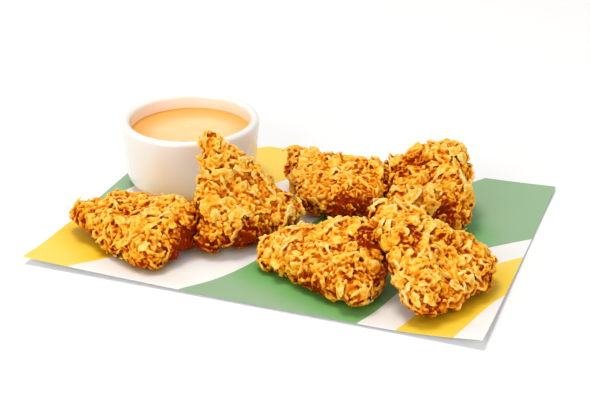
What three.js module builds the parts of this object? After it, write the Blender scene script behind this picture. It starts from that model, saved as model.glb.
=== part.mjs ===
// Six breaded chicken bites served on a printed paper sheet with a small pot of dip.
// Millimetres, +Z up. The origin is the middle of the sheet, on the surface that it lies on.
// +X runs along the sheet's long side.
import * as THREE from "three";
import { mergeVertices } from "three/addons/utils/BufferGeometryUtils.js";
import { SimplexNoise } from "three/addons/math/SimplexNoise.js";

// Driving dimensions
const SHEET = { length: 183, width: 140, thickness: 0.4, cellsAlong: 15, cellsAcross: 12 };
const POT = {
  x: -61, y: 23, height: 30, rimRadius: 30, footRadius: 22.5, bellyRadius: 28.3, bellyHeight: 7,
  wall: 3.8, draft: 1.2, floor: 4.5, insideRound: 5, segments: 40,
};
const DIP_DEPTH_BELOW_RIM = 6.8;
const REST_GAP = 0.3;
const TOUCH_GAP = 0.5;
const SHEET_TOP = SHEET.thickness + REST_GAP;

// Crust relief on the bites: broad lumps, and scales at different heights with crevices between them
const LUMP = { size: 17, depth: 1.6 };
const SCALE = { size: 7.5, depth: 2.4, crevice: 2.2, lowest: 0.35 };

// Each bite is a slab of fillet under its crust: three or four corners as x, y, z and the radius there
const BITES = [
  {
    name: "bite_left", seed: 3, detail: 8,
    corners: [[-82.5, -37, 8.5, 6.2], [-44, -57, 8, 7.5], [-37, -35, 11.8, 9], [-63, -29, 9.5, 7.5]],
  },
  {
    name: "bite_standing", seed: 11, detail: 9,
    corners: [[-26, -36, 9.5, 8.5], [-4, -11, 8, 7], [-33, -15, 38, 5]],
  },
  {
    name: "bite_back", seed: 23, detail: 8,
    corners: [[-14.5, 34, 12.3, 5.5], [1, 9, 8, 7.5], [20, 12, 9, 8], [24, 31, 12, 8]],
  },
  {
    name: "bite_back_right", seed: 31, detail: 9,
    corners: [[58, 15, 9.5, 9], [50, 36, 21, 9], [33, 34, 14, 9], [42, 13, 10, 9]],
  },
  {
    name: "bite_front", seed: 43, detail: 9,
    corners: [[0, -39, 6.5, 6], [39.5, -56.5, 8.5, 8], [40.5, -36, 15, 8], [27, -30, 15, 8]],
  },
  {
    name: "bite_front_right", seed: 57, detail: 9,
    corners: [[44, -31, 27, 6.5], [68, -59, 8, 6.5], [78, -26, 10, 8]],
  },
];

// The sheet's front edge and corners lift a little: the way they lie, the start of the lift and its height
const LIFTS = [
  { towards: [0, -1], start: 55, height: 0.8 },
  { towards: [-0.53, -0.85], start: 50, height: 2 },
  { towards: [0.96, -0.28], start: 68, height: 2.9 },
  { towards: [0.7, 0.71], start: 82, height: 1 },
  { towards: [-0.6, 0.8], start: 84, height: 2 },
];

const FINISHES = {
  paper: { color: "#f3f0e8", roughness: 0.7 },
  glaze: { color: "#f4f1ea", roughness: 0.2 },
  dip: { color: "#f2bf7c", roughness: 0.25 },
  crust: { color: "#dc9a3c", roughness: 0.6 },
};

// How a bite's net of faces is drawn over its form
const NET = { marchStep: 0.5, relaxRounds: 14, relaxShare: 0.6, slopeStep: 0.05 };

// A repeatable random source, so that every run makes the same food
function seeded(seed) {
  let state = seed >>> 0;
  return () => {
    state = (state + 0x6d2b79f5) >>> 0;
    let t = Math.imul(state ^ (state >>> 15), 1 | state);
    t = (t + Math.imul(t ^ (t >>> 7), 61 | t)) ^ t;
    return ((t ^ (t >>> 14)) >>> 0) / 2 ** 32;
  };
}

function clamp01(t) {
  return Math.min(1, Math.max(0, t));
}

function smooth(t) {
  const s = clamp01(t);
  return s * s * (3 - 2 * s);
}

function meshOf(name, geometry, finish) {
  const mesh = new THREE.Mesh(geometry, new THREE.MeshStandardMaterial({ ...finish, metalness: 0 }));
  mesh.name = name;
  return mesh;
}

// How far the sheet is lifted off the surface at a place
function lift(x, y) {
  return LIFTS.reduce((sum, { towards: [alongX, alongY], start, height }) => {
    const end = (SHEET.length / 2) * Math.abs(alongX) + (SHEET.width / 2) * Math.abs(alongY);
    const share = clamp01((x * alongX + y * alongY - start) / (end - start));
    return sum + height * share * share;
  }, 0);
}

function paperSheet() {
  const { length, width, thickness, cellsAlong, cellsAcross } = SHEET;
  const box = new THREE.BoxGeometry(length, width, thickness, cellsAlong, cellsAcross, 1);
  const at = box.getAttribute("position");
  for (let i = 0; i < at.count; i++) {
    at.setZ(i, at.getZ(i) + thickness / 2 + lift(at.getX(i), at.getY(i)));
  }
  return meshOf("paper_sheet", box, FINISHES.paper);
}

// The pot and the dip in it are turned about the pot's own axis, from profiles of radius and height
function turned(points) {
  const geometry = new THREE.LatheGeometry(points, POT.segments);
  geometry.rotateX(Math.PI / 2);
  geometry.translate(POT.x, POT.y, SHEET_TOP);
  return geometry;
}

function arc(centreR, centreZ, radiusR, radiusZ, from, to, steps) {
  return Array.from({ length: steps + 1 }, (_, i) => {
    const angle = THREE.MathUtils.degToRad(from + ((to - from) * i) / steps);
    return new THREE.Vector2(centreR + radiusR * Math.cos(angle), centreZ + radiusZ * Math.sin(angle));
  });
}

function innerRadius(z) {
  return POT.rimRadius - POT.wall - POT.draft * (1 - z / POT.height);
}

function dipPot() {
  const { height, rimRadius, footRadius, bellyRadius, bellyHeight, wall, floor, insideRound } = POT;
  const rimRound = wall / 2;
  const floorEdge = innerRadius(floor) - insideRound;
  const profile = [
    new THREE.Vector2(0, 0),
    ...arc(footRadius, bellyHeight, bellyRadius - footRadius, bellyHeight, -90, 0, 3),
    ...arc(rimRadius - rimRound, height - rimRound, rimRound, rimRound, 0, 180, 4),
    ...arc(floorEdge, floor + insideRound, insideRound, insideRound, 0, -90, 2),
    new THREE.Vector2(0, floor),
  ];
  return meshOf("ramekin", turned(profile), FINISHES.glaze);
}

function dip() {
  const level = POT.height - DIP_DEPTH_BELOW_RIM;
  const bottom = POT.floor + REST_GAP;
  const round = POT.insideRound;
  const profile = [
    new THREE.Vector2(0, bottom),
    ...arc(innerRadius(POT.floor) - round - REST_GAP, bottom + round, round, round, -90, 0, 2),
    new THREE.Vector2(innerRadius(level) - REST_GAP, level),
    new THREE.Vector2(0, level),
  ];
  return meshOf("dip", turned(profile), FINISHES.dip);
}

// Distance to a flat triangle whose corners carry a rounding radius, less the radius at the nearest point
const nearest = new THREE.Vector3();
const weights = new THREE.Vector3();
function slabDistance(point, { triangle, radii }) {
  triangle.closestPointToPoint(point, nearest);
  triangle.getBarycoord(nearest, weights);
  return nearest.distanceTo(point) - weights.dot(radii);
}

// One bite without its relief, as a function that is below zero inside it
function biteForm({ corners }) {
  const at = corners.map(([x, y, z]) => new THREE.Vector3(x, y, z));
  const slabs = at.slice(2).map((_, i) => ({
    triangle: new THREE.Triangle(at[0], at[i + 1], at[i + 2]),
    radii: new THREE.Vector3(corners[0][3], corners[i + 1][3], corners[i + 2][3]),
  }));
  return (p) => Math.min(...slabs.map((slab) => slabDistance(p, slab)));
}

// The middle of one scale of crust for each cell of space, and how high that scale stands
function scaleIn(i, j, k, seed) {
  const draw = seeded((i * 73856093) ^ (j * 19349663) ^ (k * 83492791) ^ (seed * 2654435761));
  return { middle: new THREE.Vector3(i + draw(), j + draw(), k + draw()), height: draw() };
}

// The crust's relief at a point: scales with crevices between them, over broad lumps
function crustRelief(seed) {
  const noise = new SimplexNoise({ random: seeded(seed) });
  const near = [-1, 0, 1];
  return (p) => {
    const q = p.clone().divideScalar(SCALE.size);
    const cell = q.clone().floor();
    let [first, second, height] = [Infinity, Infinity, 0];
    for (const i of near)
      for (const j of near)
        for (const k of near) {
          const scale = scaleIn(cell.x + i, cell.y + j, cell.z + k, seed);
          const away = scale.middle.distanceTo(q);
          if (away < first) [first, second, height] = [away, first, scale.height];
          else if (away < second) second = away;
        }
    const plateau = smooth(((second - first) * SCALE.size) / SCALE.crevice);
    const rise = plateau * (SCALE.lowest + (1 - SCALE.lowest) * height);
    const lumps = noise.noise3d(p.x / LUMP.size, p.y / LUMP.size, p.z / LUMP.size);
    return LUMP.depth * lumps + SCALE.depth * (rise - 0.5);
  };
}

// A round net of triangles stretched to the slab's length, width and thickness about its own middle
function stretchedNet({ corners, detail }) {
  const at = corners.map(([x, y, z]) => new THREE.Vector3(x, y, z));
  const middle = at.reduce((sum, v) => sum.add(v), new THREE.Vector3()).divideScalar(at.length);
  const radius = corners.reduce((sum, corner) => sum + corner[3], 0) / corners.length;
  const long = at[1].clone().sub(at[0]).normalize();
  const thick = long.clone().cross(at[2].clone().sub(at[0])).normalize();
  const wide = thick.clone().cross(long);
  const reach = (axis) => radius + Math.max(...at.map((v) => Math.abs(v.clone().sub(middle).dot(axis))));
  const axes = [long, wide, thick].map((axis) => axis.clone().multiplyScalar(reach(axis)));
  const ball = new THREE.IcosahedronGeometry(1, detail);
  ball.deleteAttribute("normal");
  ball.deleteAttribute("uv");
  const net = mergeVertices(ball, 1e-5);
  net.applyMatrix4(new THREE.Matrix4().makeBasis(...axes));
  return { middle, net };
}

function joinedPoints(net) {
  const joined = Array.from({ length: net.getAttribute("position").count }, () => new Set());
  const index = net.getIndex().array;
  for (let i = 0; i < index.length; i += 3)
    for (let j = 0; j < 3; j++) {
      joined[index[i + j]].add(index[i + ((j + 1) % 3)]);
      joined[index[i + j]].add(index[i + ((j + 2) % 3)]);
    }
  return joined.map((set) => [...set]);
}

function slope(form, p) {
  const d = NET.slopeStep;
  const here = form(p);
  const change = (x, y, z) => form(new THREE.Vector3(p.x + x, p.y + y, p.z + z)) - here;
  return new THREE.Vector3(change(d, 0, 0), change(0, d, 0), change(0, 0, d)).normalize();
}

// Moves a point along a form's slope until it lies on the form
function settle(form, p, steps) {
  for (let n = 0; n < steps; n++) p.addScaledVector(slope(form, p), -form(p));
  return p;
}

// The crusted surface: an even net of faces drawn over the smooth slab, then raised and sunk by the relief.
// It stops at the paper and the pot, and where it meets another bite at the surface halfway between them.
function bite(spec, form, others) {
  const { middle, net } = stretchedNet(spec);
  const relief = crustRelief(spec.seed);
  const paper = (p) => SHEET_TOP + lift(p.x, p.y) - p.z;
  const pot = (p) => POT.rimRadius + TOUCH_GAP - Math.hypot(p.x - POT.x, p.y - POT.y);
  const halfway = (p) => (form(p) + TOUCH_GAP - Math.min(...others.map((other) => other(p)))) / 2;
  const clear = (p) => Math.max(paper(p), pot(p), halfway(p));
  const solid = (p) => Math.max(form(p), clear(p));
  const at = net.getAttribute("position");
  const points = Array.from({ length: at.count }, (_, i) => {
    const direction = new THREE.Vector3().fromBufferAttribute(at, i).normalize();
    const p = middle.clone();
    while (solid(p) < 0) p.addScaledVector(direction, NET.marchStep);
    return settle(solid, p, 3);
  });
  const joined = joinedPoints(net);
  for (let round = 0; round < NET.relaxRounds; round++)
    points.forEach((p, i) => {
      const mean = joined[i].reduce((sum, j) => sum.add(points[j]), new THREE.Vector3());
      p.lerp(mean.divideScalar(joined[i].length), NET.relaxShare);
      settle(solid, p, 1);
    });
  points.forEach((p, i) => {
    p.addScaledVector(slope(form, p), relief(p));
    if (clear(p) > 0) settle(clear, p, 3);
    at.setXYZ(i, p.x, p.y, p.z);
  });
  return meshOf(spec.name, net, FINISHES.crust);
}

const meal = new THREE.Group();
meal.add(paperSheet(), dipPot(), dip());
const forms = BITES.map(biteForm);
BITES.forEach((spec, i) => {
  const others = forms.filter((form) => form !== forms[i]);
  meal.add(bite(spec, forms[i], others));
});

export default meal;
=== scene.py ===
"""The looks of six breaded chicken bites on a printed paper sheet, with a small pot of dip.

Metres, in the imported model's frame: +X runs along the sheet, +Y to the back, +Z up.
"""

import math
import random
from contextlib import contextmanager

import bpy
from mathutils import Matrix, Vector


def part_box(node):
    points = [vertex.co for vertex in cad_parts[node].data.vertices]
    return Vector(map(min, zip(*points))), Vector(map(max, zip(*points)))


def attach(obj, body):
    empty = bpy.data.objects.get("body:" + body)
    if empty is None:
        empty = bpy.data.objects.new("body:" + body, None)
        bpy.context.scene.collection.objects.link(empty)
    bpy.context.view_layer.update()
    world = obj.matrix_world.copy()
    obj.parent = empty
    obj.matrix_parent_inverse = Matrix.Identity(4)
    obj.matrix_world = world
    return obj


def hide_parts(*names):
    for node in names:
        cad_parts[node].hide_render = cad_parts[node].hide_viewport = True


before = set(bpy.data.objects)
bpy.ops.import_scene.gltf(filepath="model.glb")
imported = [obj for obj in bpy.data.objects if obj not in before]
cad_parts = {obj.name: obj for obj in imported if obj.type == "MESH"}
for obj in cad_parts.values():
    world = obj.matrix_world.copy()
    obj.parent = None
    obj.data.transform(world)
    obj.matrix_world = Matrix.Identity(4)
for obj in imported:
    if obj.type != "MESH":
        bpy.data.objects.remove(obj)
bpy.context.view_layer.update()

MM = 0.001

# Camera, fitted to the sheet's edges and the pot in the photograph
VIEW_AZIMUTH = math.radians(20.28)
VIEW_ELEVATION = math.radians(25.62)
VIEW_DISTANCE = 579.5 * MM
VIEW_TARGET = Vector((-11.6, 20.4, 0)) * MM
LENS = 82.2

# The crust: how far the core lies under the CAD surface, and the grain of the finished mesh
CORE_DEPTH = 0.85 * MM
CRUST_GRAIN = 0.36 * MM
FLAKE_TONE = "tone"
CRUST_HEIGHT = "height"
CRUST_RIDGE = "ridge"
CRUST_HOLLOW = "hollow"
CRUST_UNDER_SHADE = "under"
CRUST_CLOSE_SHADE = "close"
CRUST_SHADED_BROWNING = "browned"
CRUST_PALE = "pale"

# How far the pot and the sheet lie from the food
FOOD_DISTANCE = "food_distance"

# Each bite: its seed, how pale it is fried, how large its petals are and its share of each kind of breading
BITES = {
    "bite_left": {"seed": 11, "pale": -0.05, "size": 0.85, "petals": 0.85, "curls": 0.45, "granules": 0.5},
    "bite_standing": {"seed": 12, "pale": -0.01, "size": 1.05, "petals": 0.9, "curls": 0.15, "granules": 0.5},
    "bite_back": {"seed": 3, "pale": -0.03, "size": 1.0, "petals": 0.9, "curls": 0.15, "granules": 0.5},
    "bite_back_right": {"seed": 4, "pale": -0.05, "size": 1.3, "petals": 0.9, "curls": 0.15, "granules": 0.5},
    "bite_front": {"seed": 15, "pale": -0.01, "size": 1.1, "petals": 0.85, "curls": 0.15, "granules": 0.6},
    "bite_front_right": {"seed": 6, "pale": 0.0, "size": 1.1, "petals": 0.85, "curls": 0.5, "granules": 0.5},
}

# Where a bite is darkest, browned and also painted in shade where the spots sit in recesses and beside other
# bites: the middle of each spot and its reach, in millimetres, and how dark it is
SHADED_BROWNED_SPOTS = {
    "bite_left": [((-33, -47, 8), 9, 0.8), ((-58, -41, 15), 5, 0.35), ((-80, -46, 10), 6, 0.35)],
    "bite_standing": [((-12, -32, 6), 9, 0.7), ((-20, -40, 5), 7, 0.5), ((-35, -17, 42), 4, 0.25)],
    "bite_back": [((20, 3, 7), 11, 1.0), ((-16, 25, 14), 5, 0.4)],
    "bite_back_right": [((38, 26, 20), 8, 0.6), ((58, 7, 12), 7, 0.6)],
    "bite_front": [((42, -41, 16), 9, 0.95), ((41, -57, 15), 6, 0.4), ((24, -56, 3), 9, 0.4)],
    "bite_front_right": [
        ((56, -41, 25), 5, 0.7), ((68, -35, 21), 7, 0.35), ((84, -34, 9), 7, 0.65), ((68, -58, 6), 9, 0.4),
    ],
}


# Selecting and editing

def only(*pieces):
    """Selects these pieces alone, the first of them active."""
    for other in bpy.context.selected_objects:
        other.select_set(False)
    for piece in pieces:
        piece.select_set(True)
    bpy.context.view_layer.objects.active = pieces[0]


@contextmanager
def editing(piece):
    """Edit mode on one piece for as long as the block runs."""
    only(piece)
    bpy.ops.object.mode_set(mode="EDIT")
    yield
    bpy.ops.object.mode_set(mode="OBJECT")


def new_piece(name):
    """The piece that the last primitive operator added, under its own name."""
    piece = bpy.context.active_object
    piece.name = name
    piece.data.name = name
    return piece


def apply_all(piece):
    """Turns the piece's modifiers into plain mesh."""
    only(piece)
    for modifier in list(piece.modifiers):
        bpy.ops.object.modifier_apply(modifier=modifier.name)


def add(piece, kind, **settings):
    """A modifier of one kind, with its settings."""
    modifier = piece.modifiers.new(kind.lower(), kind)
    for key, value in settings.items():
        setattr(modifier, key, value)
    return modifier


def copy_of(node, name):
    """A merged copy of a CAD node, free to be shaped."""
    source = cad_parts[node]
    piece = bpy.data.objects.new(name, source.data.copy())
    piece.data.name = name
    bpy.context.scene.collection.objects.link(piece)
    piece.data.materials.clear()
    with editing(piece):
        bpy.ops.mesh.select_all(action="SELECT")
        bpy.ops.mesh.remove_doubles(threshold=0.01 * MM)
    return piece


def remove(*pieces):
    for piece in pieces:
        bpy.data.objects.remove(piece)


# Node trees, for shaders and for geometry alike

class Wire:
    """A socket that ordinary arithmetic can be done with."""

    def __init__(self, nodes, socket):
        self.nodes = nodes
        self.socket = socket

    def math(self, operation, *others):
        settings = {"operation": operation}
        return self.nodes.add("ShaderNodeMath", settings, dict(enumerate((self, *others))))

    def __add__(self, other):
        return self.math("ADD", other)

    __radd__ = __add__

    def __sub__(self, other):
        return self.math("SUBTRACT", other)

    def __rsub__(self, other):
        return (self * -1.0) + other

    def __mul__(self, other):
        return self.math("MULTIPLY", other)

    __rmul__ = __mul__

    def __truediv__(self, other):
        return self.math("DIVIDE", other)

    def __pow__(self, other):
        return self.math("POWER", other)

    def clamp(self):
        return self.math("MAXIMUM", 0.0).math("MINIMUM", 1.0)

    def between(self, low, high):
        """0 at low, 1 at high, smooth in between."""
        sockets = {"Value": self, "From Min": low, "From Max": high}
        return self.nodes.add("ShaderNodeMapRange", {"interpolation_type": "SMOOTHSTEP"}, sockets)


class Nodes:
    """A node tree that is written as calls."""

    def __init__(self, tree):
        self.tree = tree

    def add(self, kind, settings=None, sockets=None, out=0):
        node = self.tree.nodes.new(kind)
        for key, value in (settings or {}).items():
            setattr(node, key, value)
        for key, value in (sockets or {}).items():
            self.plug(node.inputs[key], value)
        return Wire(self, node.outputs[out])

    def plug(self, socket, value):
        if isinstance(value, Wire):
            self.tree.links.new(value.socket, socket)
        else:
            socket.default_value = value

    def parts(self, vector):
        """The three numbers of a vector."""
        node = self.add("ShaderNodeSeparateXYZ", None, {0: vector}).socket.node
        return [Wire(self, socket) for socket in node.outputs]

    def pick(self, value, stops, steps="LINEAR"):
        """A colour picked by a value from stops of place and colour."""
        picked = self.add("ShaderNodeValToRGB", None, {"Fac": value})
        ramp = picked.socket.node.color_ramp
        ramp.interpolation = steps
        while len(ramp.elements) < len(stops):
            ramp.elements.new(0.5)
        for element, (place, colour) in zip(ramp.elements, stops):
            element.position = place
            element.color = (*colour, 1.0)
        return picked

    def mix(self, share, first, second):
        """Colours mixed by a share."""
        sockets = {0: share, 6: colour_of(first), 7: colour_of(second)}
        return self.add("ShaderNodeMix", {"data_type": "RGBA"}, sockets, out=2)

    def multiply(self, first, second):
        settings = {"data_type": "RGBA", "blend_type": "MULTIPLY"}
        sockets = {0: 1.0, 6: colour_of(first), 7: colour_of(second)}
        return self.add("ShaderNodeMix", settings, sockets, out=2)


def colour_of(value):
    return value if isinstance(value, Wire) else (*value, 1.0)


class Finish(Nodes):
    """One material, on a Principled shader."""

    def __init__(self, name):
        self.material = bpy.data.materials.new(name)
        self.material.use_nodes = True
        super().__init__(self.material.node_tree)
        self.shader = self.tree.nodes["Principled BSDF"]

    def set(self, **sockets):
        """Sets the shader's sockets by name, with _ for a space."""
        for key, value in sockets.items():
            self.plug(self.shader.inputs[key.replace("_", " ").title().replace("Ior", "IOR")], value)
        return self.material

    def place(self):
        return self.add("ShaderNodeTexCoord", out="Object")

    def noise(self, size, detail, where=None):
        """Noise with features of about one size, in metres."""
        sockets = {"Vector": where or self.place(), "Scale": 1 / size, "Detail": detail}
        return self.add("ShaderNodeTexNoise", None, sockets)

    def attribute(self, name):
        """A number that the shaping stored on the mesh."""
        return self.add("ShaderNodeAttribute", {"attribute_name": name}, out="Fac")

    def bump(self, height, depth, strength):
        sockets = {"Height": height, "Distance": depth, "Strength": strength}
        return self.add("ShaderNodeBump", None, sockets)


class Shaping(Nodes):
    """One Geometry Nodes tree, which takes a mesh in and gives one back."""

    def __init__(self, name):
        super().__init__(bpy.data.node_groups.new(name, "GeometryNodeTree"))
        for way in ("INPUT", "OUTPUT"):
            self.tree.interface.new_socket("Geometry", in_out=way, socket_type="NodeSocketGeometry")
        self.mesh = self.add("NodeGroupInput")

    def finish(self, geometry, piece):
        """Ends the tree with this geometry and applies it to a piece."""
        output = self.tree.nodes.new("NodeGroupOutput")
        self.plug(output.inputs[0], geometry)
        modifier = piece.modifiers.new("shaping", "NODES")
        modifier.node_group = self.tree
        apply_all(piece)

    def shape_of(self, piece):
        return self.add("GeometryNodeObjectInfo", None, {"Object": piece}, out="Geometry")

    def random(self, kind, low, high, seed):
        """A random FLOAT or FLOAT_VECTOR between two values."""
        first = {"FLOAT": 2, "FLOAT_VECTOR": 0}[kind]
        sockets = {first: low, first + 1: high, "Seed": seed}
        out = {"FLOAT": 1, "FLOAT_VECTOR": 0}[kind]
        return self.add("FunctionNodeRandomValue", {"data_type": kind}, sockets, out=out)

    def vector(self, operation, *values, out=0):
        settings = {"operation": operation}
        return self.add("ShaderNodeVectorMath", settings, dict(enumerate(values)), out=out)

    def join(self, *parts):
        node = self.tree.nodes.new("GeometryNodeJoinGeometry")
        for part in parts:
            self.tree.links.new(part.socket, node.inputs[0])
        return Wire(self, node.outputs[0])

    def store(self, mesh, name, value, domain="POINT"):
        settings = {"data_type": "FLOAT", "domain": domain}
        sockets = {"Geometry": mesh, "Name": name, "Value": value}
        return self.add("GeometryNodeStoreNamedAttribute", settings, sockets)


# Camera, floor and light

FLOOR_SIZE = 6.0
FLOOR_DROP = 0.2 * MM
FLOOR_WHITE = (0.86, 0.86, 0.86, 1)
SKY_STRENGTH = 0.55
DAYLIGHT = (1, 0.985, 0.96)


def look_from(azimuth, elevation):
    """The direction from the object to someone who looks at it."""
    return Vector((
        math.sin(azimuth) * math.cos(elevation),
        -math.cos(azimuth) * math.cos(elevation),
        math.sin(elevation),
    ))


def make_camera():
    camera = bpy.data.objects.new("camera", bpy.data.cameras.new("camera"))
    bpy.context.scene.collection.objects.link(camera)
    back = look_from(VIEW_AZIMUTH, VIEW_ELEVATION)
    camera.location = VIEW_TARGET + back * VIEW_DISTANCE
    camera.rotation_mode = "QUATERNION"
    camera.rotation_quaternion = (-back).to_track_quat("-Z", "Y")
    camera.data.lens = LENS
    camera.data.clip_start = 10 * MM
    bpy.context.scene.camera = camera


def soft_lamp(name, azimuth, elevation, distance, size, power, colour=(1, 1, 1)):
    """A square lamp that faces the food, its azimuth and elevation in degrees."""
    lamp = bpy.data.objects.new(name, bpy.data.lights.new(name, "AREA"))
    bpy.context.scene.collection.objects.link(lamp)
    away = look_from(math.radians(azimuth), math.radians(elevation))
    lamp.location = away * distance
    lamp.rotation_mode = "QUATERNION"
    lamp.rotation_quaternion = away.to_track_quat("Z", "Y")
    lamp.data.size = size
    lamp.data.energy = power
    lamp.data.color = colour


def make_studio():
    bpy.ops.mesh.primitive_plane_add(size=FLOOR_SIZE, location=(0, 0, -FLOOR_DROP))
    floor = new_piece("floor")
    white = Finish("floor_white")
    floor.data.materials.append(white.set(base_color=FLOOR_WHITE, roughness=0.9, specular_ior_level=0.1))
    world = bpy.data.worlds.new("studio")
    world.use_nodes = True
    world.node_tree.nodes["Background"].inputs["Color"].default_value = (1, 1, 1, 1)
    world.node_tree.nodes["Background"].inputs["Strength"].default_value = SKY_STRENGTH
    bpy.context.scene.world = world
    bpy.context.scene.view_settings.view_transform = "Standard"
    soft_lamp("key", azimuth=242, elevation=76, distance=1.3, size=0.4, power=9.0, colour=DAYLIGHT)
    soft_lamp("left_fill", azimuth=-15, elevation=22, distance=1.4, size=0.8, power=8.0)
    soft_lamp("right_fill", azimuth=60, elevation=24, distance=1.4, size=0.8, power=3.5)


# Small shapes of breading, each modelled once

PETAL_THICKNESS = 0.9 * MM
PETAL_LUMPS = 0.8 * MM
CURL_THICKNESS = 1.0 * MM
CURL_DROOP = 60
CRUMB_LUMPS = 0.5 * MM
GRANULE_SIZE = 1.7 * MM


def lumpiness(seed):
    """A cloud of bumps, its size drawn from the seed."""
    texture = bpy.data.textures.new("lumpiness", "CLOUDS")
    texture.noise_scale = random.Random(seed).uniform(1.2, 2.0) * MM
    texture.noise_depth = 1
    return texture


def crinkles():
    """Ridges and folds that run through flakes and batter alike."""
    texture = bpy.data.textures.new("crinkles", "MUSGRAVE")
    texture.musgrave_type = "RIDGED_MULTIFRACTAL"
    texture.noise_scale = 2.4 * MM
    texture.octaves = 3
    return texture


def wrinkles():
    """The fine unevenness of fried batter."""
    texture = bpy.data.textures.new("wrinkles", "CLOUDS")
    texture.noise_scale = 1.0 * MM
    texture.noise_depth = 2
    return texture


def rough_ball(name, radii, roughness, seed, fine=3):
    """A ball stretched to its radii, with a lumpy skin."""
    bpy.ops.mesh.primitive_ico_sphere_add(subdivisions=fine, radius=1, location=(0, 0, 0))
    piece = new_piece(name)
    with editing(piece):
        bpy.ops.mesh.select_all(action="SELECT")
        bpy.ops.transform.resize(value=radii, center_override=(0, 0, 0))
    add(piece, "DISPLACE", texture=lumpiness(seed), strength=roughness, mid_level=0.5)
    apply_all(piece)
    return piece


def turned(piece, about_x=0, about_z=0):
    """Turns a piece's mesh by angles in degrees."""
    only(piece)
    piece.rotation_euler = (math.radians(about_x), 0, math.radians(about_z))
    bpy.ops.object.transform_apply(location=False, rotation=True, scale=False)


def bend_ends_down(piece, angle):
    """Bends a shape that lies along X until its ends hang."""
    turned(piece, about_x=90)
    add(piece, "SIMPLE_DEFORM", deform_method="BEND", deform_axis="Z", angle=math.radians(angle))
    apply_all(piece)
    turned(piece, about_x=-90)


def break_edges(piece, length, width, seed):
    """Snaps the rounded rim of a flake off along a few straight lines."""
    draw = random.Random(seed)
    with editing(piece):
        for side in range(4):
            turn = math.tau * (side + draw.uniform(0.1, 0.9)) / 4
            out = Vector((math.cos(turn), math.sin(turn), draw.uniform(-0.3, 0.3)))
            reach = draw.uniform(0.6, 0.85) * math.hypot(out.x * length, out.y * width) / 2
            bpy.ops.mesh.select_all(action="SELECT")
            bpy.ops.mesh.bisect(plane_co=out * reach, plane_no=out, use_fill=True, clear_outer=True)


def petal(name, length, width, droop, seed):
    """A flake that lies across the crust, its rim turned down, or up where droop is below zero."""
    piece = rough_ball(name, (length / 2, width / 2, PETAL_THICKNESS / 2), PETAL_LUMPS, seed)
    break_edges(piece, length, width, seed)
    bend_ends_down(piece, droop)
    turned(piece, about_z=90)
    bend_ends_down(piece, droop * 0.6)
    return piece


def curl(name, length, width, turn, seed):
    """A ribbon that bends as it lies, with its ends held against the crust."""
    piece = rough_ball(name, (length / 2, width / 2, CURL_THICKNESS / 2), CRUMB_LUMPS, seed)
    add(piece, "SIMPLE_DEFORM", deform_method="BEND", deform_axis="Z", angle=math.radians(turn))
    apply_all(piece)
    bend_ends_down(piece, CURL_DROOP)
    return piece


def granule(name, size, seed):
    """A crumb of batter, a little flatter than it is long."""
    return rough_ball(name, (size * 0.5, size * 0.42, size * 0.36), CRUMB_LUMPS, seed, fine=2)


def gathered(name, pieces):
    """A collection of shapes to be scattered, kept out of the scene itself."""
    collection = bpy.data.collections.new(name)
    for piece in pieces:
        for home in list(piece.users_collection):
            home.objects.unlink(piece)
        collection.objects.link(piece)
    return collection


def breading_shapes():
    """The three kinds of breading: each petal's and curl's length, width, bend in degrees and seed."""
    petals = [
        petal("petal_broad", 7.4 * MM, 6.0 * MM, 60, 1),
        petal("petal_long", 9.0 * MM, 4.4 * MM, 55, 2),
        petal("petal_small", 5.2 * MM, 4.2 * MM, 45, 3),
        petal("petal_open", 6.6 * MM, 5.0 * MM, -35, 4),
        petal("petal_slant", 7.0 * MM, 4.6 * MM, 30, 21),
        petal("petal_chip", 4.6 * MM, 3.4 * MM, 20, 22),
    ]
    curls = [
        curl("curl_tight", 6.5 * MM, 1.3 * MM, 90, 5),
        curl("curl_open", 8.5 * MM, 1.2 * MM, 40, 6),
        curl("curl_short", 4.5 * MM, 1.5 * MM, 60, 7),
    ]
    granules = [granule(f"granule_{i}", GRANULE_SIZE, 8 + i) for i in range(3)]
    return {
        "petals": gathered("petals", petals),
        "curls": gathered("curls", curls),
        "granules": gathered("granules", granules),
    }


# The strewing of the breading over the core

# How each kind lies: its spacing, its lean from flat in degrees, the range of its scale and its highest rise
LYING = {
    "petals": {"spacing": 2.9 * MM, "lean": 30, "scale": (0.5, 1.25), "rise": 1.1 * MM},
    "curls": {"spacing": 2.6 * MM, "lean": 20, "scale": (0.6, 1.15), "rise": 1.6 * MM},
    "granules": {"spacing": 1.6 * MM, "lean": 60, "scale": (0.6, 1.25), "rise": 0.8 * MM},
}
LOWEST_RISE = 0.1 * MM

# So dense a strewing that the spacing alone decides
DENSEST = 1e7

# Shapes are picked by a number up to a common multiple of six petals, three curls and three granules
PICKS = 12.0

# The tone of the batter between the flakes, whose own tones run from 0 to 1
BATTER_TONE = 0.35

# Breading lies in patches, and keeps clear of the next bite, the pot and the paper
PATCH_SIZE = 11 * MM
PATCHINESS = 0.8
NEIGHBOUR_ROOM = 1.4 * MM
PAPER_ROOM = 0.12 * MM
ABOVE_ALL = 0.1

# How ragged the edge of a browned spot is
RAGGED = 4 * MM

# Ridges and wrinkles that the fused crust gets last
CRINKLE_DEPTH = 0.35 * MM
WRINKLE_DEPTH = 0.35 * MM


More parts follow.
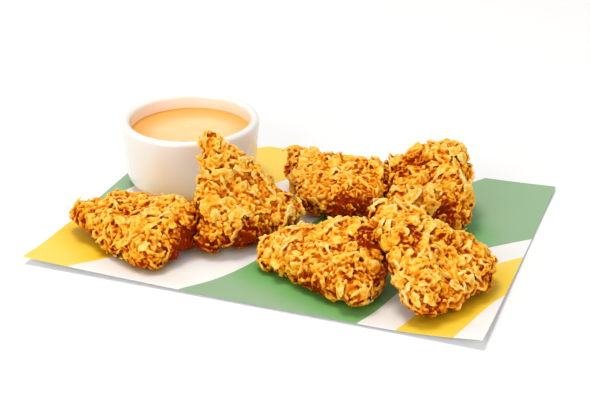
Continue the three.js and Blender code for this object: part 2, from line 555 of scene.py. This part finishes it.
def scattered(shaping, shapes, kind, habit, seed, neighbours):
    """One kind of breading, strewn over the core as instances, each with its own tone."""
    lying = LYING[kind]
    size = habit["size"] if kind == "petals" else 1.0
    apart = lying["spacing"] * size
    sockets = {"Mesh": shaping.mesh, "Distance Min": apart, "Density Max": DENSEST, "Seed": seed}
    settings = {"distribute_method": "POISSON"}
    points = shaping.add("GeometryNodeDistributePointsOnFaces", settings, sockets)
    spots = points.socket.node
    clear = shaping.add("GeometryNodeProximity", None, {0: neighbours}, out="Distance")
    sockets = {"W": seed * 1.7, "Scale": 1 / PATCH_SIZE}
    patches = shaping.add("ShaderNodeTexNoise", {"noise_dimensions": "4D"}, sockets)
    patches = patches.between(0.3, 0.7) - 0.5
    kept = (shaping.random("FLOAT", 0.0, 1.0, seed + 1) + patches * PATCHINESS).math("LESS_THAN", habit[kind])
    kept = kept * clear.math("GREATER_THAN", NEIGHBOUR_ROOM)
    info = {"Collection": shapes[kind], "Separate Children": True, "Reset Children": True}
    chosen = shaping.add("GeometryNodeCollectionInfo", None, info)
    lean = math.radians(lying["lean"])
    sockets = {
        "Points": points, "Selection": kept, "Instance": chosen, "Pick Instance": True,
        "Instance Index": shaping.random("FLOAT", 0.0, PICKS, seed + 2),
        "Rotation": Wire(shaping, spots.outputs["Rotation"]),
        "Scale": shaping.random("FLOAT", *(size * limit for limit in lying["scale"]), seed + 3),
    }
    strewn = shaping.add("GeometryNodeInstanceOnPoints", None, sockets)
    turn = shaping.random("FLOAT_VECTOR", (-lean, -lean, 0), (lean, lean, math.tau), seed + 4)
    strewn = shaping.add("GeometryNodeRotateInstances", None, {"Instances": strewn, "Rotation": turn})
    rise = shaping.random("FLOAT_VECTOR", (0, 0, LOWEST_RISE), (0, 0, lying["rise"]), seed + 6)
    strewn = shaping.add("GeometryNodeTranslateInstances", None, {"Instances": strewn, "Translation": rise})
    return shaping.store(strewn, FLAKE_TONE, shaping.random("FLOAT", 0.0, 1.0, seed + 5), "INSTANCE")


def held_off(shaping, mesh, paper):
    """Keeps a mesh from reaching down into the paper, which a ray finds from well above the food."""
    along, across, height = shaping.parts(shaping.add("GeometryNodeInputPosition"))
    above = shaping.add("ShaderNodeCombineXYZ", None, {0: along, 1: across, 2: ABOVE_ALL})
    sockets = {
        "Target Geometry": paper, "Source Position": above,
        "Ray Direction": (0, 0, -1), "Ray Length": 1.0,
    }
    hit = shaping.add("GeometryNodeRaycast", None, sockets, out="Hit Position")
    lifted = height.math("MAXIMUM", shaping.parts(hit)[2] + PAPER_ROOM)
    place = shaping.add("ShaderNodeCombineXYZ", None, {0: along, 1: across, 2: lifted})
    return shaping.add("GeometryNodeSetPosition", None, {"Geometry": mesh, "Position": place})


def bread(core, name, habit, shapes, neighbours):
    """The core with its breading on it, before they are fused."""
    breading = core.copy()
    breading.data = core.data.copy()
    breading.name = name
    bpy.context.scene.collection.objects.link(breading)
    shaping = Shaping(name)
    around = shaping.join(*(shaping.shape_of(piece) for piece in neighbours))
    strewn = [
        scattered(shaping, shapes, kind, habit, habit["seed"] * 100 + i * 10, around)
        for i, kind in enumerate(LYING)
    ]
    body = shaping.store(shaping.mesh, FLAKE_TONE, BATTER_TONE)
    whole = shaping.add("GeometryNodeRealizeInstances", None, {0: shaping.join(body, *strewn)})
    shaping.finish(whole, breading)
    return breading


def blurred(shaping, value, rounds):
    """A vector averaged with its neighbours' over the mesh, as many times as there are rounds."""
    settings = {"data_type": "FLOAT_VECTOR"}
    return shaping.add("GeometryNodeBlurAttribute", settings, {"Value": value, "Iterations": rounds})


def browning_and_shade(shaping, place, spots):
    """How dark each place is browned and painted in shade, with ragged edges to the spots."""
    ragged = shaping.add("ShaderNodeTexNoise", None, {"Scale": 1 / RAGGED}) * (2 * RAGGED)
    dark = None
    for centre, reach, depth in spots:
        away = shaping.vector("DISTANCE", place, Vector(centre) * MM, out="Value") + ragged - RAGGED
        spot = away.between(reach * 1.3 * MM, reach * 0.5 * MM) * depth
        dark = spot if dark is None else dark.math("MAXIMUM", spot)
    return dark


def note_relief(crust, breading, core, foods, paper, name):
    """Keeps the crust off the paper and stores what its colour needs.

    That is the flake's tone, the height over the core, the ridges and the hollows. It is also where the crust
    lies low and faces down and where another bite is close, both for painted shade, the spots that are
    browned and painted in shade, and how pale the whole bite is.
    """
    shaping = Shaping("relief_notes")
    place = shaping.add("GeometryNodeInputPosition")
    normal = shaping.add("GeometryNodeInputNormal")
    tone = shaping.add("GeometryNodeInputNamedAttribute", {"data_type": "FLOAT"}, {"Name": FLAKE_TONE})
    sockets = {"Mesh": shaping.shape_of(breading), "Value": tone}
    tone = shaping.add("GeometryNodeSampleNearestSurface", {"data_type": "FLOAT"}, sockets)
    height = shaping.add("GeometryNodeProximity", None, {0: shaping.shape_of(core)}, out="Distance")

    def standing_out(rounds):
        away = shaping.vector("SUBTRACT", place, blurred(shaping, place, rounds))
        return shaping.vector("DOT_PRODUCT", away, normal, out="Value") / MM

    mesh = held_off(shaping, shaping.mesh, shaping.shape_of(paper))
    mesh = shaping.store(mesh, FLAKE_TONE, tone)
    mesh = shaping.store(mesh, CRUST_HEIGHT, height / MM)
    mesh = shaping.store(mesh, CRUST_RIDGE, standing_out(4))
    mesh = shaping.store(mesh, CRUST_HOLLOW, standing_out(30))
    # Painted shade for the colour: places that lie low and face down, and places close to another bite
    upward = shaping.parts(blurred(shaping, normal, 25))[2]
    above = shaping.parts(place)[2]
    mesh = shaping.store(mesh, CRUST_UNDER_SHADE, upward.between(0.8, -0.5) * above.between(16 * MM, 3 * MM))
    apart = shaping.add("GeometryNodeProximity", None, {0: shaping.shape_of(foods)}, out="Distance")
    mesh = shaping.store(mesh, CRUST_CLOSE_SHADE, upward.between(0.9, -0.1) * apart.between(9 * MM, 1 * MM))
    mesh = shaping.store(mesh, CRUST_SHADED_BROWNING, browning_and_shade(shaping, place, SHADED_BROWNED_SPOTS[name]))
    mesh = shaping.store(mesh, CRUST_PALE, BITES[name]["pale"])
    shaping.finish(mesh, crust)


def crusted_bite(name, habit, shapes, paper, finish):
    """One bite: a core of the CAD node's form, breading on it, and both fused into one crust."""
    core = copy_of(name, name + "_core")
    others = [copy_of(n, n + "_beside") for n in BITES if n != name]
    only(*others)
    bpy.ops.object.join()
    foods = others[0]
    pot = copy_of("ramekin", "pot_beside")
    with editing(core):
        bpy.ops.mesh.select_all(action="SELECT")
        bpy.ops.transform.shrink_fatten(value=-CORE_DEPTH)
    add(core, "SUBSURF", levels=1, render_levels=1)
    apply_all(core)
    breading = bread(core, name + "_breading", habit, shapes, (foods, pot))
    crust = breading.copy()
    crust.data = breading.data.copy()
    crust.name = name + "_crust"
    crust.data.name = crust.name
    bpy.context.scene.collection.objects.link(crust)
    add(crust, "REMESH", mode="VOXEL", voxel_size=CRUST_GRAIN, use_smooth_shade=True)
    add(crust, "SMOOTH", factor=0.5, iterations=2)
    add(crust, "DISPLACE", texture=crinkles(), strength=CRINKLE_DEPTH, mid_level=0.6)
    add(crust, "DISPLACE", texture=wrinkles(), strength=WRINKLE_DEPTH, mid_level=0.5)
    apply_all(crust)
    note_relief(crust, breading, core, foods, paper, name)
    remove(core, breading, foods, pot)
    crust.data.materials.clear()
    crust.data.materials.append(finish)
    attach(crust, "root")
    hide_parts(name)


# The crust's colours, from the darkest hollow, browned and in painted shade, to the palest ridge, which
# carries a painted highlight
FRIED = [
    (0.0, (0.26, 0.018, 0.0005)),
    (0.22, (0.52, 0.095, 0.002)),
    (0.42, (0.78, 0.29, 0.008)),
    (0.60, (0.88, 0.45, 0.036)),
    (0.80, (0.94, 0.58, 0.115)),
    (1.0, (0.97, 0.70, 0.29)),
]

# The usual lightness, the crust's usual height in millimetres, and the most that a standing-out place counts
GOLDEN = 0.55
USUAL_HEIGHT = 1.2
MOST_RAISED = 0.35


def crust_finish():
    """Fried breading: dark red-brown hollows, golden flakes and pale yellow ridges, dry and dull, with
    painted shade in the hollows, on low and down-facing parts and beside other bites, and a painted highlight
    on the ridges.
    """
    fin = Finish("fried_crust")
    height = fin.attribute(CRUST_HEIGHT)
    ridge = fin.attribute(CRUST_RIDGE)
    hollow = fin.attribute(CRUST_HOLLOW)
    tone = fin.attribute(FLAKE_TONE)
    patches = fin.noise(14 * MM, 2.0)
    mottle = fin.noise(2.2 * MM, 4.0)
    specks = fin.noise(0.7 * MM, 3.0)
    hollow = hollow.math("MINIMUM", MOST_RAISED)
    # Hollows darker, ridges and high flakes paler: partly the fry's own colour, partly painted shade in the
    # hollows and a painted highlight on the ridges
    shape = hollow * 0.6 + ridge * 0.4 + (height - USUAL_HEIGHT) * 0.08
    uneven = (tone - 0.5) * 0.25 + (mottle - 0.5) * 0.4 + (patches - 0.5) * 0.35 + (specks - 0.5) * 0.12
    # Painted shade where the crust lies low and faces down and where another bite is close
    painted_shut_in_shade = fin.attribute(CRUST_UNDER_SHADE) * 0.32 + fin.attribute(CRUST_CLOSE_SHADE) * 0.5
    # Browned spots that are also painted shade in recesses and beside other bites; ridges and mottle keep
    # some of the golden colour
    burnt_and_shaded = 0.62 - ridge * 0.7 - (mottle - 0.5) * 1.1 - (specks - 0.5) * 0.5
    burnt_and_shaded = fin.attribute(CRUST_SHADED_BROWNING) * burnt_and_shaded
    lightness = GOLDEN + fin.attribute(CRUST_PALE) + shape + uneven - painted_shut_in_shade - burnt_and_shaded
    colour = fin.pick(lightness.clamp(), FRIED)
    rough = 0.5 + (mottle - 0.5) * 0.3
    grain = fin.bump(specks, 0.12 * MM, 0.6)
    fin.set(subsurface_weight=0.2, subsurface_radius=(1.0, 0.3, 0.06), subsurface_scale=1.2 * MM)
    fin.set(specular_ior_level=0.02)
    return fin.set(base_color=colour, roughness=rough, normal=grain)


def note_food(piece):
    """Stores how far each part of a piece lies from the food, in millimetres."""
    foods = [copy_of(n, n + "_around") for n in BITES]
    only(*foods)
    bpy.ops.object.join()
    shaping = Shaping("food_distance")
    near = shaping.add("GeometryNodeProximity", None, {0: shaping.shape_of(foods[0])}, out="Distance")
    shaping.finish(shaping.store(shaping.mesh, FOOD_DISTANCE, near / MM), piece)
    remove(foods[0])


# The pot and its dip

POT_SIDES = 96
POT_CENTRE = (-61 * MM, 23 * MM)
POT = {
    "height": 30 * MM,
    "rim": 30 * MM,
    "foot": 22.5 * MM,
    "belly": 28.3 * MM,
    "belly_height": 7 * MM,
    "wall": 3.8 * MM,
    "draft": 1.2 * MM,
    "floor": 4.5 * MM,
    "inside_round": 5 * MM,
}
DIP_LEVEL = 23.2 * MM
DIP_GAP = 0.05 * MM

# How the dip's edge creeps up the wall: distance from it and height over the level, in millimetres
DIP_CREEP = [(0, 0.55), (0.25, 0.3), (0.6, 0.12), (1.1, 0.03), (1.8, 0)]
DIP_RINGS = 18
SWIRL_PITCH = 1.9 * MM
SWIRL_HEIGHT = 0.12 * MM

# The dip is palest round this place and darker towards the wall: painted shade from the pot's wall,
# off-centre so that it is deepest at the back and left
DIP_SHADE_CENTRE = (-58.5 * MM, 20.5 * MM)


def ringed(name, centre, profile):
    """A closed round body: a disc extruded ring by ring, outside up and inside down."""
    (radius, height), *rest = profile
    at = Vector((centre[0], centre[1], height))
    bpy.ops.mesh.primitive_circle_add(vertices=POT_SIDES, radius=radius, fill_type="NGON", location=at)
    piece = new_piece(name)
    with editing(piece):
        bpy.ops.mesh.select_all(action="SELECT")
        for wider, higher in rest:
            step = (0, 0, higher - height)
            bpy.ops.mesh.extrude_region_move(TRANSFORM_OT_translate={"value": step})
            grow = wider / radius
            bpy.ops.transform.resize(value=(grow, grow, 1), center_override=(*centre, higher))
            radius, height = wider, higher
        bpy.ops.mesh.select_all(action="SELECT")
        bpy.ops.mesh.normals_make_consistent(inside=False)
    only(piece)
    bpy.ops.object.transform_apply(location=True, rotation=True, scale=True)
    bpy.ops.object.shade_smooth()
    return piece


def arc(centre, size, start, end, steps):
    """Points (radius, height) of an elliptic arc, angles in degrees."""
    angles = (math.radians(start + (end - start) * i / steps) for i in range(steps + 1))
    return [(centre[0] + size[0] * math.cos(a), centre[1] + size[1] * math.sin(a)) for a in angles]


def line(start, end, steps):
    """Points between two ends, without the ends."""
    shares = (i / steps for i in range(1, steps))
    return [tuple(a + (b - a) * share for a, b in zip(start, end)) for share in shares]


def inside_radius(height):
    """How wide the pot is inside at a height, from its middle to its wall."""
    return POT["rim"] - POT["wall"] - POT["draft"] * (1 - height / POT["height"])


def dip_pot(base, finish):
    """The pot: a round foot, a straight wall, a full round lip and a hollow with a rounded floor."""
    lip = POT["wall"] / 2
    inside = POT["inside_round"]
    floor_edge = inside_radius(POT["floor"]) - inside
    belly = (POT["belly"] - POT["foot"], POT["belly_height"])
    profile = [
        *arc((POT["foot"], POT["belly_height"]), belly, -90, 0, 10),
        *line((POT["belly"], POT["belly_height"]), (POT["rim"], POT["height"] - lip), 10),
        *arc((POT["rim"] - lip, POT["height"] - lip), (lip, lip), 0, 180, 16),
        *arc((floor_edge, POT["floor"] + inside), (inside, inside), 0, -90, 8),
        (floor_edge * 0.5, POT["floor"]),
    ]
    profile = [(radius, height + base) for radius, height in profile]
    pot = ringed("pot", POT_CENTRE, profile)
    note_food(pot)
    pot.data.materials.append(finish)
    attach(pot, "root")
    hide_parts("ramekin")


def dip_body(base, finish):
    """The dip: it fills the pot and creeps a little up the wall, with a faint swirl on top."""
    inside = POT["inside_round"]
    floor = POT["floor"] + DIP_GAP
    edge = inside_radius(POT["floor"]) - inside - DIP_GAP
    wall = inside_radius(DIP_LEVEL) - DIP_GAP
    top = [(wall - away * MM, DIP_LEVEL + up * MM) for away, up in DIP_CREEP]
    rings = [(wall - (3 + 1.2 * i) * MM, DIP_LEVEL) for i in range(DIP_RINGS)]
    profile = [(edge * 0.6, floor), *arc((edge, floor + inside), (inside, inside), -90, 0, 6), *top, *rings]
    profile = [(radius, height + base) for radius, height in profile]
    dip = ringed("dip_filling", POT_CENTRE, profile)
    shaping = Shaping("dip_swirl")
    along, across, height = shaping.parts(shaping.add("GeometryNodeInputPosition"))
    x, y = along - POT_CENTRE[0], across - POT_CENTRE[1]
    away = (x * x + y * y) ** 0.5
    turn = shaping.add("ShaderNodeMath", {"operation": "ARCTAN2"}, {0: y, 1: x})
    wave = (away / SWIRL_PITCH + turn).math("SINE")
    on_top = height.math("GREATER_THAN", base + DIP_LEVEL - 0.1 * MM)
    stirred = away.between(22 * MM, 14 * MM) * on_top
    lift = shaping.add("ShaderNodeCombineXYZ", None, {2: wave * stirred * SWIRL_HEIGHT})
    sockets = {"Geometry": shaping.mesh, "Offset": lift}
    shaping.finish(shaping.add("GeometryNodeSetPosition", None, sockets), dip)
    dip.data.materials.append(finish)
    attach(dip, "root")
    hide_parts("dip")


def glaze_finish():
    """White glazed porcelain, with a film of dip inside and a painted warm reflection of the food beside it.
    """
    fin = Finish("white_glaze")
    place = fin.place()
    cloud = fin.noise(18 * MM, 2.0, place)
    speck = fin.noise(0.8 * MM, 2.0, place)
    x, y, z = fin.parts(place)
    x, y = x - POT_CENTRE[0], y - POT_CENTRE[1]
    inside = ((x * x + y * y) ** 0.5).math("LESS_THAN", POT["rim"] - POT["wall"] * 0.6)
    film = inside * z.between(POT["height"] - 0.3 * MM, DIP_LEVEL) * 0.8
    colour = fin.mix(cloud, (0.83, 0.81, 0.765), (0.86, 0.84, 0.80))
    colour = fin.mix(film, colour, (0.98, 0.70, 0.40))
    # A painted warm reflection of the food, strongest where the glaze is nearest to it
    painted_food_reflection = fin.attribute(FOOD_DISTANCE).between(22.0, 1.0) * 0.95
    colour = fin.mix(painted_food_reflection, colour, (1.0, 0.71, 0.37))
    fin.set(coat_weight=0.35, coat_roughness=0.06, specular_ior_level=0.5, subsurface_weight=0.1)
    fin.set(subsurface_radius=(1.0, 0.8, 0.6), subsurface_scale=2 * MM)
    rough = 0.2 + (cloud - 0.5) * 0.08
    ripple = fin.bump(cloud + speck * 0.04, 0.25 * MM, 0.5)
    return fin.set(base_color=colour, roughness=rough, normal=ripple)


def dip_finish():
    """A creamy orange sauce with a soft sheen, paler streaks from stirring and painted shade from the pot's
    wall round its edge.
    """
    fin = Finish("creamy_dip")
    place = fin.place()
    x, y, _ = fin.parts(place)
    x, y = x - DIP_SHADE_CENTRE[0], y - DIP_SHADE_CENTRE[1]
    # Painted shade from the pot's wall, darker towards the wall and most at the back and left
    edge = ((x * x + y * y) ** 0.5).between(12 * MM, 27 * MM)
    bend = fin.noise(9 * MM, 2.0, place) * (6 * MM)
    bent = fin.add("ShaderNodeVectorMath", {"operation": "ADD"}, {0: place, 1: bend})
    streaks = fin.noise(5 * MM, 4.0, bent)
    fleck = fin.noise(0.55 * MM, 1.0, place).between(0.70, 0.76)
    colour = fin.mix(streaks.between(0.3, 0.75), (0.95, 0.59, 0.27), (0.97, 0.64, 0.33))
    # The painted wall shade round the dip's edge
    colour = fin.mix(edge, colour, (0.94, 0.39, 0.065))
    colour = fin.mix(fleck * 0.5, colour, (0.75, 0.26, 0.06))
    fin.set(subsurface_weight=0.25, subsurface_radius=(1.0, 0.5, 0.2), subsurface_scale=2.5 * MM)
    fin.set(coat_weight=0.1, coat_roughness=0.25, specular_ior_level=0.3)
    rough = 0.4 + (streaks - 0.5) * 0.12
    return fin.set(base_color=colour, roughness=rough, normal=fin.bump(streaks, 0.3 * MM, 0.5))


# The printed sheet

SHEET_SIZE = (182.9 * MM, 139.9 * MM)
SHEET_CELLS = (150, 115)
SHEET_THICKNESS = 0.36 * MM
SHEET_START = 60 * MM


def paper(finish, underside):
    """The sheet: a fine grid lowered onto the CAD sheet, evened out and given its thickness."""
    bpy.ops.mesh.primitive_grid_add(
        x_subdivisions=SHEET_CELLS[0], y_subdivisions=SHEET_CELLS[1], size=1, location=(0, 0, 0)
    )
    sheet = new_piece("paper")
    with editing(sheet):
        bpy.ops.mesh.select_all(action="SELECT")
        bpy.ops.transform.resize(value=(*SHEET_SIZE, 1), center_override=(0, 0, 0))
        bpy.ops.transform.translate(value=(0, 0, SHEET_START))
    under = copy_of("paper_sheet", "sheet_form")
    add(
        sheet, "SHRINKWRAP", target=under, wrap_method="PROJECT",
        use_project_z=True, use_negative_direction=True, use_positive_direction=False,
    )
    add(sheet, "SMOOTH", factor=0.5, iterations=24, use_x=False, use_y=False)
    apply_all(sheet)
    remove(under)
    note_food(sheet)
    sheet.data.materials.append(finish)
    sheet.data.materials.append(underside)
    add(sheet, "SOLIDIFY", thickness=SHEET_THICKNESS, offset=-1, material_offset=1, material_offset_rim=0)
    apply_all(sheet)
    only(sheet)
    bpy.ops.object.shade_smooth_by_angle(angle=math.radians(40))
    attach(sheet, "root")
    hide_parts("paper_sheet")


WHITE = (0.87, 0.86, 0.83)
YELLOW = (0.95, 0.67, 0.12)
GREEN = (0.30, 0.46, 0.275)

# Where each colour of the print starts, along the line across the bands, in millimetres
BANDS = [
    (-200, WHITE), (-104, GREEN), (-84, WHITE), (-74, YELLOW), (-30, WHITE),
    (12, GREEN), (82, WHITE), (96, YELLOW), (121, WHITE),
]
BAND_SLANT = 0.51
BAND_REACH = 250


def paper_finish():
    """Greaseproof paper with wide wavy bands of print, deepened near the food by a grease soak and painted
    shade, with a painted contact shadow at the food's edge.
    """
    fin = Finish("printed_paper")
    place = fin.place()
    x, y, _ = fin.parts(place)
    run = (x * BAND_SLANT + y) / MM
    wave = (run / 24 + 0.6).math("SINE") * 7 + (run / 61 + 2.0).math("SINE") * 8
    across = (x - y * BAND_SLANT) / MM + wave
    stops = [((start + BAND_REACH) / (2 * BAND_REACH), colour) for start, colour in BANDS]
    print_colour = fin.pick((across + BAND_REACH) / (2 * BAND_REACH), stops, steps="CONSTANT")
    fibre = fin.noise(0.5 * MM, 4.0, place)
    cloud = fin.noise(25 * MM, 2.0, place)
    shade = 0.97 + (fibre - 0.5) * 0.06 + (cloud - 0.5) * 0.04
    grey = fin.add("ShaderNodeCombineColor", None, {0: shade, 1: shade, 2: shade})
    near = fin.attribute(FOOD_DISTANCE)
    # Near the food the print is more saturated and darker: partly a grease soak, partly painted shade
    grease_and_painted_shade = near.between(17.0, 1.0) * cloud.between(0.15, 0.4)
    sockets = {"Saturation": 2.0, "Value": 0.9, "Color": print_colour}
    soaked_and_shaded_print = fin.add("ShaderNodeHueSaturation", None, sockets)
    colour = fin.multiply(fin.mix(grease_and_painted_shade * 0.9, print_colour, soaked_and_shaded_print), grey)
    # A painted contact shadow with a little fat stain, right at the food's edge
    stain_and_contact_shadow = fin.mix(near.between(4.0, 0.5), (1, 1, 1), (0.7, 0.58, 0.32))
    colour = fin.multiply(colour, stain_and_contact_shadow)
    fin.set(specular_ior_level=0.2)
    return fin.set(base_color=colour, roughness=0.62 - grease_and_painted_shade * 0.2, normal=fin.bump(fibre, 0.08 * MM, 0.4))


def plain_paper_finish():
    """The sheet's bare underside."""
    fin = Finish("plain_paper")
    fibre = fin.noise(0.5 * MM, 4.0)
    colour = fin.mix(fibre, (0.83, 0.82, 0.79), (0.90, 0.89, 0.87))
    return fin.set(base_color=colour, roughness=0.7 + (fibre - 0.5) * 0.1)


make_camera()
make_studio()
(_, _, pot_base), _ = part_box("ramekin")
paper(paper_finish(), plain_paper_finish())
dip_pot(pot_base, glaze_finish())
dip_body(pot_base, dip_finish())
food_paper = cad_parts["paper_sheet"]
shapes = breading_shapes()
crust = crust_finish()
for name, habit in BITES.items():
    crusted_bite(name, habit, shapes, food_paper, crust)
